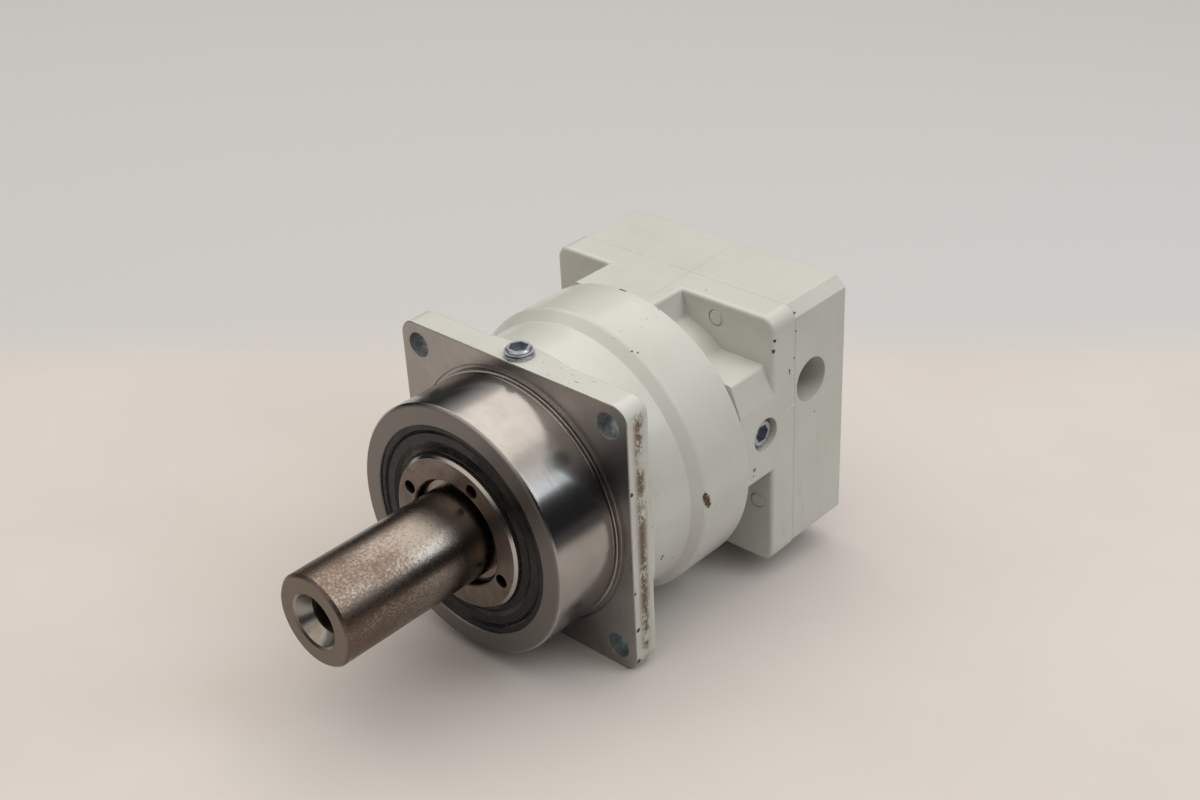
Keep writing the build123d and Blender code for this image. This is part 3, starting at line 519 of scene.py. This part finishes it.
def dress():
    """Give every CAD node its material, by the record's slot, or by its own name."""
    made = {
        "painted_body": housing_material(),
        "painted_screw": screw_end_material(),
        "shaft_steel": shaft_material(),
        "nut_steel": nut_material(),
        "gear_steel": metal_material("gear_steel", (0.50, 0.50, 0.51), (0.40, 0.39, 0.38), 0.26, "y"),
        "bearing_steel": metal_material("bearing_steel", (0.66, 0.66, 0.67), (0.60, 0.60, 0.61), 0.12, "y",
                                        depth=0.008),
        "cage_steel": metal_material("cage_steel", (0.52, 0.49, 0.44), (0.44, 0.41, 0.36), 0.30, "r"),
        "seal_rubber": rubber_material(),
        "spring_steel": metal_material("spring_steel", (0.22, 0.22, 0.23), (0.13, 0.13, 0.135), 0.36, "r"),
        "plug_zinc": plug_material("blue_zinc", (0.49, 0.525, 0.565), (0.37, 0.40, 0.44), 0.36),
        "plug_washer": plug_material("soft_washer", (0.58, 0.59, 0.60), (0.44, 0.45, 0.46), 0.36),
        "screw_steel": metal_material("black_oxide", (0.055, 0.055, 0.06), (0.035, 0.034, 0.034), 0.38, "y"),
        "hub_steel": metal_material("hub_steel", (0.50, 0.49, 0.48), (0.40, 0.38, 0.36), 0.28, "y",
                                    stain=(0.16, 0.12, 0.09)),
    }
    by_node = {
        "input_housing": block_material("block_paint", BLOCK_BLACK, BLOCK_BLUE, 20.0),
        "adapter_plate": block_material("plate_paint", PLATE_BLACK, PLATE_BLUE, 33.0),
    }
    for part in frame["record"]["subparts"]:
        node = part["node"]
        material = by_node.get(node) or made[part["material_slot"]]
        thing = bpy.data.objects[node]
        if not thing.material_slots:
            thing.data.materials.append(material)
        for place in thing.material_slots:
            place.material = material


# ---- stage -----------------------------------------------------------------
FLOOR_HALF = 6.0
FLOOR_WARM = ((0.595, 0.555, 0.53), (0.57, 0.53, 0.505))
# the far floor's grey is painted shade
FLOOR_FAR_SHADE = (0.515, 0.515, 0.525)
FLOOR_MIRRORED = (0.03, 0.03, 0.033)
# how high the world's tones start, as the sine of the elevation, and their colours
WORLD_TONES = ((0.33, (0.022, 0.024, 0.028)), (0.47, (0.34, 0.345, 0.36)), (0.60, (1.0, 0.94, 0.87)))
WORLD_STRENGTH = 0.90


def make_floor():
    """A pale floor, tilted so that it touches the flange's lower front edge and the round body."""
    around = ((-FLOOR_HALF, -FLOOR_HALF), (FLOOR_HALF, -FLOOR_HALF), (FLOOR_HALF, FLOOR_HALF),
              (-FLOOR_HALF, FLOOR_HALF))
    corners = [(x, y, REST_SLOPE * y - FLANGE_HALF / MM) for x, y in around]
    mesh = bpy.data.meshes.new("floor")
    mesh.from_pydata(corners, [], [(0, 1, 2, 3)])
    floor = bpy.data.objects.new("floor", mesh)
    bpy.context.collection.objects.link(floor)
    s = Surface("pale_floor")
    cloud = s.noise(160.0, 4.0, 0.6)
    away = s.plus(s.times(s.y, math.cos(CAMERA_AZIMUTH)),
                  s.times(s.x, -math.sin(CAMERA_AZIMUTH)))
    # painted shade: the far floor turns grey, standing in for a shaded backdrop
    back = s.ramp(away, 190.0, 250.0)
    front = s.colour(s.ramp(cloud, 0.35, 0.65), *FLOOR_WARM)
    colour = s.colour(back, front, FLOOR_FAR_SHADE)
    # mirrored in steel, the far floor looks dark, as the room beyond a table does
    mirrored = s.node("LightPath").outputs["Is Glossy Ray"]
    far = s.times(s.ramp(s.vector("LENGTH", s.point), 230.0, 420.0), s.ramp(s.x, -150.0, 50.0))
    colour = s.colour(s.times(mirrored, far), colour, FLOOR_MIRRORED)
    mesh.materials.append(s.finish(colour, 0.0, 0.75, s.bump(s.noise(3.0, 3.0), 0.05)))


def make_world():
    """A bright ceiling over darker walls, as in a plain studio room."""
    world = bpy.data.worlds.new("studio")
    bpy.context.scene.world = world
    world.use_nodes = True
    tree = world.node_tree
    background = tree.nodes["Background"]
    coordinates = tree.nodes.new("ShaderNodeTexCoord")
    split = tree.nodes.new("ShaderNodeSeparateXYZ")
    ramp = tree.nodes.new("ShaderNodeValToRGB")
    tree.links.new(coordinates.outputs["Generated"], split.inputs[0])
    tree.links.new(split.outputs[2], ramp.inputs[0])
    tree.links.new(ramp.outputs[0], background.inputs[0])
    stops = ramp.color_ramp.elements
    stops[0].position, stops[1].position = WORLD_TONES[0][0], WORLD_TONES[-1][0]
    stops.new(WORLD_TONES[1][0])
    for stop, (place, colour) in zip(stops, WORLD_TONES):
        stop.position = place
        stop.color = (*colour, 1)
    background.inputs[1].default_value = WORLD_STRENGTH


bpy.context.scene.view_settings.view_transform = "Standard"
make_camera()
make_world()
make_light("ceiling", (-0.25, 0.15, 1.5), (0, 0.03, 0), (2.5, 2.5), 18.5, (1.0, 0.955, 0.89))
make_light("window", (1.0, 0.5, 1.0), (0, 0, 0), (0.6, 0.9), 5.0, (0.82, 0.93, 1.0))
make_floor()
dress()
